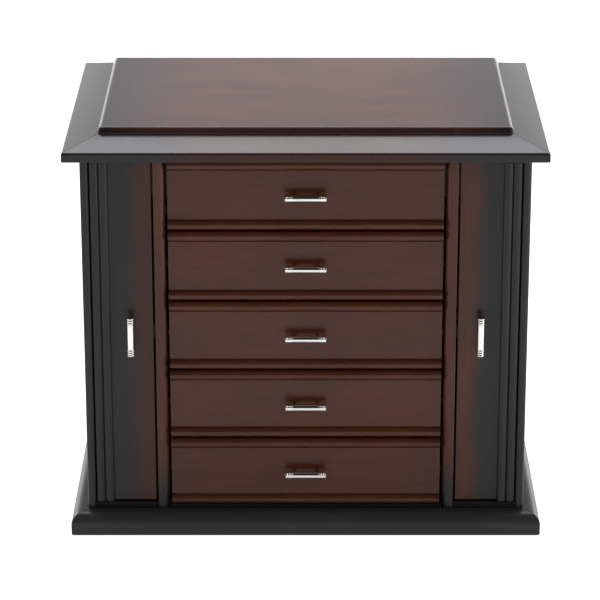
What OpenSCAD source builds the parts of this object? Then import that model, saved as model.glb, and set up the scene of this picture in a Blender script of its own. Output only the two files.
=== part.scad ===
// Jewelry armoire for a dresser top: five drawers between two reeded side
// doors, a moulded plinth, and a mirrored lid over a shallow ring tray.
// Millimetres. X to the right, Y to the back, Z up; the origin is the centre
// of the plinth's footprint, on the surface it stands on.

/* [Case] */
// Width across the two side panels
case_w = 374; // [340:1:430]
// Depth from the front plane to the back face
case_d = 266; // [200:0.5:320]
// Height from the top of the plinth to the underside of the lid
case_h = 315.5; // [280:0.1:380]
// Thickness of each side panel
side_t = 7; // [5:0.5:8]
// Thickness of the boards on either side of the drawers
partition_t = 10; // [6:0.5:14]
// Thickness of the back panel
back_t = 6; // [4:0.5:10]
// Thickness of the bottom board
bottom_t = 6; // [4:0.5:10]
// Height of the rail that shows under the drawers
bottom_rail_h = 4; // [2.5:0.5:8]
// Height of the rail that shows under each door
door_rail_h = 5.9; // [4:0.1:9]
// How far these rails and the blocks over the doors stand behind the front plane
rail_set = 1.5; // [0.5:0.5:2]
// Width of the upright between the drawers and each door
stile_w = 10; // [7:0.5:16]
// Radius of the upright's edge beside the drawers
stile_round = 6; // [2:0.5:6.5]

/* [Plinth] */
// Height of the plinth with its felt
plinth_h = 19.5; // [16:0.5:30]
// How far the plinth stands out at the front and sides
plinth_out = 14; // [8:0.5:20]
// Height of the rounded shoulder on the plinth
plinth_curve_h = 9; // [4:0.5:12]
// Width of that shoulder
plinth_curve_w = 10.5; // [5:0.5:14]
// How far the plinth frame reaches in under the case
plinth_in = 20; // [14:1:30]
// Thickness of the hardboard let into the underside of the plinth
base_panel_t = 3; // [2:0.5:5]
// Width of the rebate that takes it
base_rebate = 8; // [4:1:12]
// Thickness of the felt on the underside
felt_t = 1; // [0.8:0.1:2]
// How far the felt stops short of the plinth's edge
felt_inset = 1.5; // [1:0.5:12]

/* [Drawer fronts] */
// Gap between one drawer front and the next
drawer_gap = 1.6; // [1:0.1:3]
// Gap between a drawer front and the upright beside it
drawer_side_gap = 1.8; // [1:0.1:3]
// Gap between the lowest drawer front and the rail below it
drawer_foot_gap = 0.6; // [0.4:0.1:2]
// Gap between the top drawer front and the lid
drawer_head_gap = 2.2; // [1.5:0.1:6]
// How far the flat field of a front lies behind the front plane
field_set = 2; // [1:0.5:5]
// Thickness of a front behind its field
front_t = 12; // [10:0.5:16]
// Height of the half-round bead along the top and bottom of a front
bead_h = 8.3; // [5:0.1:11]
// How far the bead stands proud of the field
bead_proud = 3.4; // [2:0.1:4.5]
// Width of the groove between the bead and the field
quirk_w = 0.8; // [0.5:0.1:1.6]
// Depth of that groove
quirk_depth = 0.6; // [0.4:0.1:2]

/* [Drawer boxes] */
// Height of the four lower drawer boxes
box_h = 48; // [24:1:50]
// Height of a box above the lower edge of its front
box_lift = 4; // [3:0.5:6]
// Thickness of a drawer's sides
box_side_t = 7; // [6:0.5:10]
// Thickness of a drawer's back
box_back_t = 7; // [5:0.5:10]
// Thickness of a drawer's bottom
box_bottom_t = 3; // [2:0.5:5]
// How far a drawer's sides stop short of the ends of its front
box_inset = 1.2; // [0.6:0.1:3]
// Depth of the groove along each drawer side
groove_depth = 3; // [2:0.1:4]
// Height of the runner that the groove slides on
runner_h = 6; // [4:0.5:9]
// Clearance between a runner and its groove
runner_fit = 0.4; // [0.3:0.1:0.8]
// Thickness of the velvet pad in each drawer
pad_t = 2; // [1:0.5:4]
// Clearance around the velvet pad
pad_fit = 0.4; // [0.2:0.1:1]

/* [Doors] */
// Width of each door
door_w = 50.8; // [42:0.1:62]
// Thickness of a door behind its flat panel
door_t = 7; // [6:0.5:7]
// How far the flat panel lies behind the tops of the reeds
panel_set = 4.5; // [3:0.5:5]
// Width of one reed
reed_w = 7.4; // [6.2:0.1:7.6]
// How far a reed stands out of the groove beside it
reed_h = 2.2; // [2:0.1:3]
// Distance from one reed to the next
reed_pitch = 7.6; // [7.4:0.1:8.4]
// Gap between a door and its side panel
door_hinge_gap = 0.7; // [0.6:0.1:1.5]
// Gap between a door and the upright beside it
door_free_gap = 1.9; // [1.5:0.1:3]
// Gap between a door and the rail below it
door_foot_gap = 1; // [0.6:0.1:3]
// Thickness of the block over each door
door_head_t = 3; // [3:0.1:8]
// Gap between a door and the block over it
door_head_gap = 0.9; // [0.5:0.1:2]
// Distance of the pivot pins from the door's outer edge
pivot_in = 3.9; // [3.8:0.1:4.2]
// Distance of the pivot pins behind the front plane
pivot_set = 3.8; // [3.7:0.1:4.3]
// Radius of the pivot pins
pin_r = 1; // [0.8:0.1:1.2]
// Length of a pin inside the door
pin_hold = 10; // [6:1:16]
// Outer radius of the bushes that the pins turn in
bush_r = 1.6; // [1.5:0.1:1.8]
// Running clearance of a pin in its bush
pin_fit = 0.05; // [0.02:0.01:0.1]

/* [Catches] */
// Width of the magnet beside each door
magnet_w = 12; // [10:0.5:16]
// Height of the magnet
magnet_h = 12; // [8:1:20]
// How far the magnet reaches back beside the compartment
magnet_d = 8; // [5:0.5:14]
// Gap between a closed door and its magnet
magnet_gap = 0.6; // [0.4:0.1:1]
// Radius of the steel strike let into the door
strike_r = 3.5; // [2.5:0.1:4.5]
// Thickness of the strike
strike_t = 1; // [0.6:0.1:1.5]
// Distance of the strike from the door's free edge
strike_in = 5.5; // [5:0.1:7]

/* [Pulls] */
// Length of a bar pull
pull_l = 35; // [35:0.5:50]
// Radius of the bar between its ringed ends
pull_r = 2.9; // [2.2:0.1:2.9]
// Radius of the rings
ring_r = 3.3; // [3:0.1:3.8]
// Length of one ring
ring_l = 2.1; // [1.5:0.1:2.1]
// Distance between the two posts
post_pitch = 19.2; // [12:0.1:19.2]
// Radius of a post
post_r = 1.5; // [1.3:0.1:1.5]
// Distance from the wood to the middle of the bar
pull_reach = 9.5; // [9:0.5:14]
// Radius of the screw in each post
screw_r = 1; // [0.7:0.1:1.1]
// How far the screw runs into the post
screw_bite = 5; // [3:0.5:6]
// Radius of the screw's head
screw_head_r = 2.4; // [2:0.1:3]
// Height of the screw's head
screw_head_h = 1.8; // [1:0.1:2.4]
// Clearance around a screw in the wood
screw_fit = 0.2; // [0.1:0.1:0.4]
// How far the door pulls stand above the middle of the doors
door_pull_lift = 1; // [-30:1:30]
// Distance of a door pull from the door's free edge
door_pull_in = 18.7; // [12:0.1:24]

/* [Tray] */
// Depth of the tray under the lid
tray_depth = 33.6; // [26:0.1:38]
// Thickness of the tray's floor
tray_floor_t = 4; // [3:0.5:6]
// Thickness of the board at the front of the tray
tray_front_t = 6; // [4:0.5:10]
// Clearance between the top drawer's box and the tray floor
box_head_gap = 1.4; // [0.6:0.1:3]
// Thickness of the velvet on the tray floor
lining_t = 1; // [0.8:0.1:2]
// Height of the tray dividers
divider_h = 17; // [10:1:18]
// Thickness of the tray dividers
divider_t = 4; // [2.5:0.5:6]
// Clear width of the ring bay in the middle
ring_bay_w = 136; // [100:1:180]
// Clear depth of the ring bay
ring_bay_d = 100; // [60:1:140]
// Number of ring rolls
roll_count = 7; // [4:1:7]
// Radius of a ring roll
roll_r = 6.5; // [5:0.1:6.6]
// Distance from one ring roll to the next
roll_pitch = 14; // [13.5:0.1:14.2]
// Gap at each end of the ring rolls
roll_end_gap = 2; // [1:0.5:5]
// Height of the rail behind the tray that holds the hinges
back_rail_h = 14; // [10:0.5:15]
// Thickness of that rail
back_rail_t = 12; // [8:0.5:16]

/* [Necklace hooks] */
// Number of hooks in each side compartment
hook_count = 3; // [2:1:3]
// Distance from one hook to the next
hook_pitch = 16; // [14:0.5:18]
// Radius of the hook wire
hook_wire_r = 1; // [0.8:0.1:1.3]
// Radius of the hook's bend
hook_bend_r = 4; // [3:0.5:6]
// Length of the hook's straight shank
hook_shank = 9; // [6:1:14]
// Height of the rail that holds the hooks
hook_rail_h = 10; // [8:1:16]
// Thickness of that rail
hook_rail_t = 12; // [8:1:18]
// Distance of that rail behind the doors
hook_rail_back = 60; // [30:5:120]

/* [Lid] */
// How far the lid stands out at the front and sides
lid_out = 13.7; // [8:0.1:20]
// Gap between the closed lid and the case
lid_gap = 0.4; // [0.3:0.1:1]
// Height of the lid's upright edge
fascia_h = 8.1; // [6:0.1:14]
// Radius along the top of that edge
fascia_round = 2; // [1:0.1:3]
// Radius along the bottom of that edge
fascia_foot_round = 1.3; // [0.5:0.1:2.5]
// Width of the sloping border
slope_run = 28.2; // [20:0.1:36]
// Rise of the sloping border
slope_rise = 8.3; // [4:0.1:12]
// Width of the lid's frame
member_w = 40; // [38:1:50]
// Thickness of the raised panel
panel_t = 5.6; // [4:0.1:8]
// How far in from its foot the panel's round edge reaches
panel_round = 4.5; // [3:0.1:12]
// Thickness of the mirror
mirror_t = 3; // [2:0.5:4]
// Clearance around the mirror
mirror_fit = 0.5; // [0.3:0.1:1.5]
// Height of the strips that hold the mirror
mirror_strip_h = 5; // [3:0.5:6]
// Width of those strips
mirror_strip_w = 5; // [3:0.5:10]

/* [Lid hinges] */
// Distance of each hinge from the middle of the lid
hinge_x = 110; // [60:1:130]
// Length of a hinge
hinge_l = 32; // [24:1:44]
// Width of a hinge leaf on the wood
leaf_w = 11; // [8:0.5:12]
// Thickness of a hinge leaf
leaf_t = 1.1; // [0.8:0.1:1.4]
// Radius of the hinge barrel
barrel_r = 2.4; // [2:0.1:3]
// Radius of the hinge pin
hinge_pin_r = 1; // [0.8:0.1:1.2]
// Running clearance of the hinge pin
hinge_pin_fit = 0.05; // [0.02:0.01:0.1]
// Clearance between the barrel and the wood, and between knuckles
barrel_gap = 0.5; // [0.4:0.1:0.8]

/* [Hidden] */
$fn = 48;

drawer_count = 5;
knuckle_count = 5;
// clearance between a closed drawer or door and the boards behind it
close_gap = 0.4;
// hairline between glued or screwed pieces of one node, so that each stays its own solid
glue = 0.03;
// points along each rounded edge and bead
arc_steps = 14;
// overlap that keeps a cutter clear of the face it starts from
cut = 1;

lacquer = [0.24, 0.13, 0.10];
dark_wood = [0.20, 0.11, 0.08];
velvet = [0.45, 0.42, 0.40];
nickel = [0.80, 0.79, 0.77];
brass = [0.78, 0.62, 0.32];

// places across the width, from the outside in
half_w = case_w / 2;
side_in = half_w - side_t;
door_out = side_in - door_hinge_gap;
door_in = door_out - door_w;
stile_out = door_in - door_free_gap;
stile_in = stile_out - stile_w;
partition_out = stile_in + partition_t;
drawer_half = stile_in - drawer_side_gap;
box_half = drawer_half - box_inset;
box_in = box_half - box_side_t;
plinth_half = half_w + plinth_out;
lid_half = half_w + lid_out;

// places from front to back, with the front plane of the case at zero
front_back = field_set + front_t;
inner_y = front_back + close_gap;
inner_back = case_d - back_t;
door_back = panel_set + door_t;
box_back = inner_back - close_gap;
plinth_d = case_d + plinth_out;
plinth_w = plinth_out + plinth_in;
lid_d = case_d + lid_out;
origin_y = (case_d - plinth_out) / 2;

// heights
lid_z = plinth_h + case_h;
case_top = lid_z - lid_gap;
board_z = plinth_h + bottom_t;
rail_top = plinth_h + bottom_rail_h;
door_rail_top = plinth_h + door_rail_h;
drawer_z0 = rail_top + drawer_foot_gap;
drawer_h = (lid_z - drawer_head_gap - drawer_z0 - (drawer_count - 1) * drawer_gap) / drawer_count;
door_z0 = door_rail_top + door_foot_gap;
door_head_z = case_top - door_head_t;
door_z1 = door_head_z - door_head_gap;
tray_z = case_top - tray_depth;
tray_under = tray_z - tray_floor_t;
lining_z = tray_z + lining_t;
lid_top_z = lid_z + fascia_h + slope_rise;
mirror_z = lid_top_z - mirror_t;
axis_z = lid_z - lid_gap / 2;
axis_y = case_d + barrel_gap + barrel_r;
pivot_x = door_out - pivot_in;

// lower edge of drawer front n, counted from the top
function drawer_z(n) = drawer_z0 + (drawer_count - n) * (drawer_h + drawer_gap);
// height of drawer box n: the top one is shallow, because the tray is above it
function box_height(n) =
    n == 1 ? tray_under - box_head_gap - drawer_z(1) - box_lift : min(box_h, drawer_h - 2 * box_lift);
function box_z(n) = drawer_z(n) + box_lift;
// points of an arc of radii a and b about a centre, from one angle to another
function arc(centre, a, b, from, to) = [
    for (i = [0 : arc_steps])
        let (t = from + (to - from) * i / arc_steps) centre + [a * cos(t), b * sin(t)]
];

// puts a shape drawn from the front plane into the row's frame
module placed() { translate([0, -origin_y, 0]) children(); }
module both_sides() { children(); mirror([1, 0, 0]) children(); }
module board(low, high) { translate(low) cube(high - low); }
// an outline of depth and height, run along X from zero
module run(length, outline) { rotate([90, 0, 90]) linear_extrude(length) polygon(outline); }

// ---- plinth ----------------------------------------------------------------

// a length of plinth frame along X, its front edge at Y zero
module plinth_run(length, mitre_start, mitre_end) {
    curve_w = min(plinth_curve_w, plinth_out);
    outline = concat(
        [[0, felt_t], [plinth_w - base_rebate, felt_t],
         [plinth_w - base_rebate, felt_t + base_panel_t], [plinth_w, felt_t + base_panel_t],
         [plinth_w, plinth_h]],
        arc([curve_w, plinth_h - plinth_curve_h], curve_w, plinth_curve_h, 90, 180)
    );
    intersection() {
        run(length, outline);
        linear_extrude(plinth_h)
            polygon([[0, 0], [length, 0], [length - mitre_end, plinth_w], [mitre_start, plinth_w]]);
    }
}

module felt_base() {
    color("darkslategray") placed()
        board([felt_inset - plinth_half, felt_inset - plinth_out, 0],
              [plinth_half - felt_inset, case_d - felt_inset, felt_t]);
}

module base_panel() {
    edge = plinth_half - plinth_w + base_rebate;
    color(dark_wood) placed()
        board([-edge, plinth_in - base_rebate, felt_t],
              [edge, case_d - plinth_in + base_rebate, felt_t + base_panel_t]);
}

module plinth_front() {
    color(lacquer) placed() translate([-plinth_half, -plinth_out, 0])
        plinth_run(2 * plinth_half, plinth_w, plinth_w);
}

module plinth_sides() {
    color(lacquer) placed() both_sides()
        translate([-plinth_half, case_d, 0]) rotate([0, 0, -90]) plinth_run(plinth_d, 0, plinth_w);
}

module plinth_back() {
    reach = plinth_half - plinth_w;
    color(lacquer) placed() difference() {
        board([-reach, case_d - plinth_in, felt_t], [reach, case_d, plinth_h]);
        board([-reach - cut, case_d - plinth_in - cut, felt_t - cut],
              [reach + cut, case_d - plinth_in + base_rebate, felt_t + base_panel_t]);
    }
}

// ---- case ------------------------------------------------------------------

module bottom_board() {
    color(dark_wood) placed()
        board([-side_in, inner_y, plinth_h], [side_in, inner_back, board_z]);
}

// the rounded front edge of each side panel is the outermost reed
module side_panels() {
    color(lacquer) placed() both_sides()
        translate([0, 0, plinth_h]) linear_extrude(case_top - plinth_h)
            polygon(concat([[half_w, case_d], [side_in, case_d]],
                           arc([half_w - side_t / 2, reed_h], side_t / 2, reed_h, 180, 360)));
}

module partitions() {
    color(dark_wood) placed() both_sides()
        board([stile_in, inner_y, board_z], [partition_out, inner_back, tray_under]);
}

module front_stiles() {
    edge_round = 1;
    outline = concat(
        [[stile_in, inner_y]],
        arc([stile_in + stile_round, stile_round], stile_round, stile_round, 180, 270),
        arc([stile_out - edge_round, edge_round], edge_round, edge_round, 270, 360),
        [[stile_out, inner_y]]
    );
    color(lacquer) placed() both_sides()
        translate([0, 0, plinth_h]) linear_extrude(case_top - plinth_h) polygon(outline);
}

module bottom_rails() {
    color(lacquer) placed() {
        board([-stile_in, rail_set, plinth_h], [stile_in, inner_y, rail_top]);
        both_sides() difference() {
            board([stile_out, rail_set, plinth_h], [side_in, inner_y, door_rail_top]);
            translate([pivot_x, pivot_set, plinth_h - cut])
                cylinder(r = bush_r, h = door_rail_h + 2 * cut);
        }
    }
}

module door_heads() {
    color(lacquer) placed() both_sides() difference() {
        board([stile_out, rail_set, door_head_z], [side_in, inner_y, case_top]);
        translate([pivot_x, pivot_set, door_head_z - cut])
            cylinder(r = bush_r, h = door_head_t + 2 * cut);
    }
}

module tray_front() {
    color(dark_wood) placed()
        board([-side_in, inner_y, tray_z], [side_in, inner_y + tray_front_t, case_top]);
}

module tray_floor() {
    color(dark_wood) placed()
        board([-side_in, inner_y, tray_under], [side_in, inner_back, tray_z]);
}

// the seats of the two lower hinge leaves
module leaf_seats(low, high) {
    both_sides() board([hinge_x - hinge_l / 2, case_d - leaf_w, low],
                       [hinge_x + hinge_l / 2, case_d + cut, high]);
}

module back_panel() {
    color(dark_wood) placed() difference() {
        board([-side_in, inner_back, plinth_h], [side_in, case_d, case_top]);
        leaf_seats(case_top - leaf_t, case_top + cut);
    }
}

module back_rail() {
    color(dark_wood) placed() difference() {
        board([-side_in, inner_back - back_rail_t, case_top - back_rail_h],
              [side_in, inner_back, case_top]);
        leaf_seats(case_top - leaf_t, case_top + cut);
    }
}

module drawer_runners() {
    runner_w = stile_in - box_half + groove_depth - runner_fit;
    color(dark_wood) placed() for (n = [1 : drawer_count]) {
        middle = box_z(n) + box_height(n) / 2;
        both_sides() board([stile_in - runner_w, inner_y, middle - runner_h / 2],
                           [stile_in, inner_back, middle + runner_h / 2]);
    }
}

// ---- what the case holds ---------------------------------------------------

module tray_lining() {
    color(velvet) placed()
        board([-side_in, inner_y + tray_front_t, tray_z], [side_in, inner_back, lining_z]);
}

module tray_dividers() {
    low = inner_y + tray_front_t;
    top = lining_z + divider_h;
    half = ring_bay_w / 2;
    middle = (low + inner_back - divider_t) / 2;
    color(dark_wood) placed() {
        both_sides() {
            board([half, low, lining_z], [half + divider_t, inner_back, top]);
            board([half + divider_t + glue, middle, lining_z], [side_in, middle + divider_t, top]);
        }
        board([glue - half, low + ring_bay_d, lining_z], [half - glue, low + ring_bay_d + divider_t, top]);
    }
}

module ring_rolls() {
    end_round = 3;
    length = ring_bay_w - 2 * roll_end_gap;
    first = inner_y + tray_front_t + (ring_bay_d - (roll_count - 1) * roll_pitch) / 2;
    outline = concat(
        [[0, 0]],
        arc([roll_r - end_round, end_round], end_round, end_round, -90, 0),
        arc([roll_r - end_round, length - end_round], end_round, end_round, 0, 90),
        [[0, length]]
    );
    color(velvet) placed() for (i = [0 : roll_count - 1])
        translate([-length / 2, first + i * roll_pitch, lining_z + roll_r])
            rotate([0, 90, 0]) rotate_extrude() polygon(outline);
}

module hook_rails() {
    color(dark_wood) placed() both_sides()
        board([partition_out, inner_y + hook_rail_back, tray_under - hook_rail_h],
              [side_in, inner_y + hook_rail_back + hook_rail_t, tray_under]);
}

// a wire hook that opens towards the door, its shank's top at the origin
module hook() {
    tip = 3;
    translate([0, 0, -hook_shank]) cylinder(r = hook_wire_r, h = hook_shank);
    translate([0, -hook_bend_r, -hook_shank]) rotate([0, 90, 0]) rotate([0, 0, -90])
        rotate_extrude(angle = 180) translate([hook_bend_r, 0]) circle(r = hook_wire_r);
    translate([0, -2 * hook_bend_r, -hook_shank]) cylinder(r = hook_wire_r, h = tip);
    translate([0, -2 * hook_bend_r, -hook_shank + tip]) sphere(r = hook_wire_r * 1.5);
}

module necklace_hooks() {
    middle = (partition_out + side_in) / 2;
    color(brass) placed() both_sides() for (i = [0 : hook_count - 1])
        translate([middle + (i - (hook_count - 1) / 2) * hook_pitch,
                   inner_y + hook_rail_back + hook_rail_t / 2, tray_under - hook_rail_h])
            hook();
}

module door_magnets() {
    middle = (door_z0 + door_z1) / 2;
    color("dimgray") placed() both_sides()
        board([stile_out, door_back + magnet_gap, middle - magnet_h / 2],
              [stile_out + magnet_w, inner_y + magnet_d, middle + magnet_h / 2]);
}

module pivot_bush(low, height) {
    translate([pivot_x, pivot_set, low]) difference() {
        cylinder(r = bush_r, h = height);
        translate([0, 0, -cut]) cylinder(r = pin_r + pin_fit, h = height + 2 * cut);
    }
}

module pivot_bushes() {
    color(brass) placed() both_sides() {
        pivot_bush(plinth_h, door_rail_h);
        pivot_bush(door_head_z, door_head_t);
    }
}

// ---- lid hinges ------------------------------------------------------------

knuckle_l = (hinge_l - (knuckle_count - 1) * barrel_gap) / knuckle_count;
// start of knuckle k along the hinge
function knuckle_x(k) = -hinge_l / 2 + k * (knuckle_l + barrel_gap);

// one leaf with the knuckles whose numbers are listed; low is the leaf's underside
module hinge_leaf(low, knuckles, bore_r) {
    difference() {
        union() {
            board([-hinge_l / 2, case_d - leaf_w, low], [hinge_l / 2, case_d, low + leaf_t]);
            for (k = knuckles) {
                board([knuckle_x(k), case_d - leaf_w, low],
                      [knuckle_x(k) + knuckle_l, axis_y, low + leaf_t]);
                translate([knuckle_x(k), axis_y, axis_z]) rotate([0, 90, 0])
                    cylinder(r = barrel_r, h = knuckle_l);
            }
        }
        translate([-hinge_l, axis_y, axis_z]) rotate([0, 90, 0]) cylinder(r = bore_r, h = 2 * hinge_l);
    }
}

module case_hinge_leaves() {
    color(brass) placed() both_sides() translate([hinge_x, 0, 0])
        hinge_leaf(case_top - leaf_t, [0, 2, 4], hinge_pin_r);
}

module lid_hinge_leaves() {
    color(brass) placed() both_sides() translate([hinge_x, 0, 0])
        hinge_leaf(lid_z, [1, 3], hinge_pin_r + hinge_pin_fit);
}

module hinge_pins() {
    color(nickel) placed() both_sides()
        translate([hinge_x - hinge_l / 2, axis_y, axis_z]) rotate([0, 90, 0])
            cylinder(r = hinge_pin_r, h = hinge_l);
}

// ---- lid -------------------------------------------------------------------

// a mitred length of the lid's frame along X, its outer edge at Y zero
module lid_member(length) {
    slope = atan2(slope_rise, slope_run);
    outline = concat(
        [[member_w, 0], [member_w, fascia_h + slope_rise], [slope_run, fascia_h + slope_rise]],
        arc([fascia_round, fascia_h - fascia_round * (1 - sin(slope)) / cos(slope)],
            fascia_round, fascia_round, 90 + slope, 180),
        arc([fascia_foot_round, fascia_foot_round], fascia_foot_round, fascia_foot_round, 180, 270)
    );
    translate([-length / 2, 0, lid_z]) intersection() {
        run(length, outline);
        linear_extrude(fascia_h + slope_rise)
            polygon([[0, 0], [length, 0], [length - member_w, member_w], [member_w, member_w]]);
    }
}

module lid_front_member() {
    color(lacquer) placed() translate([0, -lid_out, 0]) lid_member(2 * lid_half);
}

module lid_back_member() {
    color(lacquer) placed() difference() {
        translate([0, case_d, 0]) rotate([0, 0, 180]) lid_member(2 * lid_half);
        leaf_seats(lid_z - cut, lid_z + leaf_t);
    }
}

module lid_side_members() {
    color(lacquer) placed() both_sides()
        translate([-lid_half, case_d - lid_d / 2, 0]) rotate([0, 0, -90]) lid_member(lid_d);
}

// corner of the raised panel, round from its foot to its top
module panel_corner() {
    rotate_extrude($fn = 32) polygon(concat([[0, 0]], arc([0, 0], panel_round, panel_t, 0, 90)));
}

module lid_panel() {
    reach = lid_half - slope_run - panel_round;
    low = slope_run + panel_round - lid_out;
    high = case_d - slope_run - panel_round;
    color(lacquer) placed() translate([0, 0, lid_top_z]) hull()
        for (x = [-reach, reach], y = [low, high]) translate([x, y, 0]) panel_corner();
}

module mirror_glass() {
    half = lid_half - member_w - mirror_fit;
    color("lightsteelblue") placed()
        board([-half, member_w + mirror_fit - lid_out, mirror_z],
              [half, case_d - member_w - mirror_fit, lid_top_z]);
}

module mirror_strips() {
    low = member_w - lid_out;
    high = case_d - member_w;
    half = lid_half - member_w;
    bottom = mirror_z - mirror_strip_h;
    color(lacquer) placed() {
        for (y = [low, high - mirror_strip_w])
            board([-half, y, bottom], [half, y + mirror_strip_w, mirror_z]);
        both_sides() board([half - mirror_strip_w, low + mirror_strip_w + glue, bottom],
                           [half, high - mirror_strip_w - glue, mirror_z]);
    }
}

// ---- pulls -----------------------------------------------------------------

// the ringed bar along X through the origin
module pull_bar() {
    rings = 3;
    ring_steps = 8;
    swell = ring_r - pull_r;
    half = pull_l / 2;
    one_end = [
        for (k = [0 : rings - 1], i = [0 : ring_steps])
            [pull_r + swell * sin(180 * i / ring_steps), -half + (k + i / ring_steps) * ring_l]
    ];
    other_end = [for (i = [len(one_end) - 1 : -1 : 0]) [one_end[i][0], -one_end[i][1]]];
    rotate([0, 90, 0]) rotate_extrude()
        polygon(concat([[0, -half]], one_end, other_end, [[0, half]]));
}

// a pull with its middle at the origin: bar in front, screws to a back at depth
module pull(depth) {
    translate([0, -pull_reach, 0]) pull_bar();
    for (x = [-post_pitch / 2, post_pitch / 2]) translate([x, 0, 0]) {
        difference() {
            rotate([90, 0, 0]) cylinder(r = post_r, h = pull_reach);
            translate([-post_pitch, -pull_reach, 0]) rotate([0, 90, 0])
                cylinder(r = pull_r + glue, h = 2 * post_pitch);
            rotate([90, 0, 0]) translate([0, 0, -cut])
                cylinder(r = screw_r + glue, h = screw_bite + glue + cut);
        }
        translate([0, depth - screw_head_h, 0]) {
            rotate([90, 0, 0]) cylinder(r = screw_r, h = depth - screw_head_h + screw_bite);
            rotate([-90, 0, 0]) cylinder(r = screw_head_r, h = screw_head_h);
        }
    }
}

// what the pull's two screws and their heads need, cut through wood of that depth
module pull_holes(depth) {
    for (x = [-post_pitch / 2, post_pitch / 2]) translate([x, 0, 0]) rotate([-90, 0, 0]) {
        translate([0, 0, -cut]) cylinder(r = screw_r + screw_fit, h = depth + 2 * cut);
        translate([0, 0, depth - screw_head_h])
            cylinder(r = screw_head_r + screw_fit, h = screw_head_h + cut);
    }
}

// ---- doors -----------------------------------------------------------------

door_pull_at = [door_in + door_pull_in, panel_set, (door_z0 + door_z1) / 2 + door_pull_lift];

// the right-hand door; the left one is its mirror image
module door() {
    middle = (door_z0 + door_z1) / 2;
    color(lacquer) placed() difference() {
        translate([0, 0, door_z0]) linear_extrude(door_z1 - door_z0) {
            translate([door_in, panel_set]) square([door_w, door_t]);
            translate([door_out - reed_pitch - reed_w, reed_h])
                square([reed_pitch + reed_w, door_back - reed_h]);
            for (i = [0, 1]) translate([door_out - reed_w / 2 - i * reed_pitch, 0])
                polygon(concat([[reed_w / 2, door_back], [-reed_w / 2, door_back]],
                               arc([0, reed_h], reed_w / 2, reed_h, 180, 360)));
        }
        for (z = [door_z0 - cut, door_z1 - pin_hold]) translate([pivot_x, pivot_set, z])
            cylinder(r = pin_r, h = pin_hold + cut);
        translate([door_in + strike_in, door_back - strike_t, middle]) rotate([-90, 0, 0])
            cylinder(r = strike_r, h = strike_t + cut);
        translate(door_pull_at) rotate([0, 90, 0]) pull_holes(door_t);
    }
}

module door_pull() { color(nickel) placed() translate(door_pull_at) rotate([0, 90, 0]) pull(door_t); }

module door_pins() {
    bite = 0.4;
    color(brass) placed() {
        translate([pivot_x, pivot_set, plinth_h + bite])
            cylinder(r = pin_r, h = door_z0 + pin_hold - plinth_h - bite);
        translate([pivot_x, pivot_set, door_z1 - pin_hold])
            cylinder(r = pin_r, h = door_head_z + door_head_t - bite - door_z1 + pin_hold);
    }
}

module door_strike() {
    color("gray") placed()
        translate([door_in + strike_in, door_back - strike_t, (door_z0 + door_z1) / 2])
            rotate([-90, 0, 0]) cylinder(r = strike_r, h = strike_t);
}

// ---- drawers ---------------------------------------------------------------

// depth and height of a front from its lower edge: bead, groove, field, groove, bead
function front_outline() =
    let (deep = 0.5, low = bead_h / 2, high = drawer_h - bead_h / 2, field = bead_h + quirk_w)
    concat(
        [[front_back, 0]],
        [[field_set + deep, 0]],
        arc([field_set + deep, low], bead_proud + deep, bead_h / 2, 270, 90),
        [[field_set + quirk_depth, bead_h], [field_set + quirk_depth, bead_h + quirk_w / 2],
         [field_set, field], [field_set, drawer_h - field],
         [field_set + quirk_depth, drawer_h - bead_h - quirk_w / 2],
         [field_set + quirk_depth, drawer_h - bead_h]],
        arc([field_set + deep, high], bead_proud + deep, bead_h / 2, 270, 90),
        [[front_back, drawer_h]]
    );

module drawer_front(n) {
    color(lacquer) placed() difference() {
        translate([-drawer_half, 0, drawer_z(n)]) run(2 * drawer_half, front_outline());
        translate([0, field_set, drawer_z(n) + drawer_h / 2]) pull_holes(front_t);
    }
}

module drawer_pull(n) {
    color(nickel) placed() translate([0, field_set, drawer_z(n) + drawer_h / 2]) pull(front_t);
}

module drawer_box(n) {
    low = box_z(n);
    top = low + box_height(n);
    middle = (low + top) / 2;
    groove = runner_h / 2 + runner_fit;
    back_y = box_back - box_back_t;
    color(dark_wood) placed() {
        both_sides() difference() {
            board([box_in, front_back, low], [box_half, box_back, top]);
            board([box_half - groove_depth, front_back - cut, middle - groove],
                  [box_half + cut, box_back + cut, middle + groove]);
        }
        board([glue - box_in, back_y, low], [box_in - glue, box_back, top]);
        board([glue - box_in, front_back, low], [box_in - glue, back_y - glue, low + box_bottom_t]);
    }
}

module drawer_pad(n) {
    low = box_z(n) + box_bottom_t;
    color(velvet) placed()
        board([pad_fit - box_in, front_back + pad_fit, low],
              [box_in - pad_fit, box_back - box_back_t - pad_fit, low + pad_t]);
}

felt_base();
base_panel();
plinth_front();
plinth_sides();
plinth_back();
bottom_board();
side_panels();
partitions();
front_stiles();
bottom_rails();
door_heads();
tray_front();
tray_floor();
back_panel();
back_rail();
drawer_runners();
tray_dividers();
tray_lining();
ring_rolls();
hook_rails();
necklace_hooks();
case_hinge_leaves();
hinge_pins();
door_magnets();
pivot_bushes();
lid_front_member();
lid_back_member();
lid_side_members();
lid_panel();
mirror_glass();  // mirror
mirror_strips();
lid_hinge_leaves();
mirror([1, 0, 0]) door();  // left_door
mirror([1, 0, 0]) door_pull();  // left_door_pull
mirror([1, 0, 0]) door_pins();  // left_door_pins
mirror([1, 0, 0]) door_strike();  // left_door_strike
door();  // right_door
door_pull();  // right_door_pull
door_pins();  // right_door_pins
door_strike();  // right_door_strike
drawer_front(1);  // drawer_1_front
drawer_box(1);  // drawer_1_box
drawer_pad(1);  // drawer_1_pad
drawer_pull(1);  // drawer_1_pull
drawer_front(2);  // drawer_2_front
drawer_box(2);  // drawer_2_box
drawer_pad(2);  // drawer_2_pad
drawer_pull(2);  // drawer_2_pull
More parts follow.
